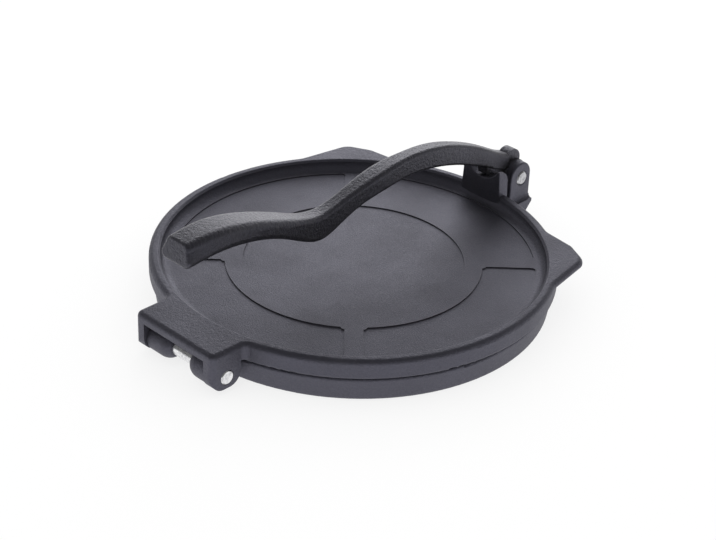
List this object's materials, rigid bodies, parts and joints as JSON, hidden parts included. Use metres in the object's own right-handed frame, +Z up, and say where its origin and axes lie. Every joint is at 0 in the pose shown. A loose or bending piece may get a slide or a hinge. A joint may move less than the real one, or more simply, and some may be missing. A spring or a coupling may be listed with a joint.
{
  "type": "tortilla press",
  "caption": "Cast-iron hand press: a round base, a hinged round lid with a dished top and corner wings, and a long curved lever that presses the lid's saddle down.",
  "frame": {"origin": "centre of the round base where it stands on the table, in the middle of the foot under its hub", "axes": "+Z up, +Y from the lid's hinge to the lever's pivot, X along the hinge pin and the lever pin"},
  "size_m": [0.2656, 0.3176, 0.0949],
  "materials": {
    "base_iron": "seasoned, satin, fine casting grain",
    "lid_iron": "seasoned, satin, fine casting grain",
    "lever_iron": "seasoned, satin, fine casting grain",
    "pin_steel": "plain turned steel"
  },
  "bodies": {
    "base": {"base_plate": "base_iron", "lever_pin": "pin_steel"},
    "lid": {"lid_plate": "lid_iron", "hinge_pin": "pin_steel"},
    "lever": {"lever": "lever_iron"}
  },
  "joints": [
    {"name": "lever_pivot", "type": "hinge", "parent": "base", "child": "lever", "pos_m": [0, 0.1525, 0.0344], "axis": [-1, 0, 0], "range_deg": [0, 120]},
    {"name": "lid_hinge", "type": "hinge", "parent": "base", "child": "lid", "pos_m": [0, -0.142, 0.01215], "axis": [1, 0, 0], "range_deg": [0, 92]}
  ],
  "couplings": [
    {"joint": "lid_hinge", "follows": "lever_pivot", "ratio": 0.066667}
  ]
}
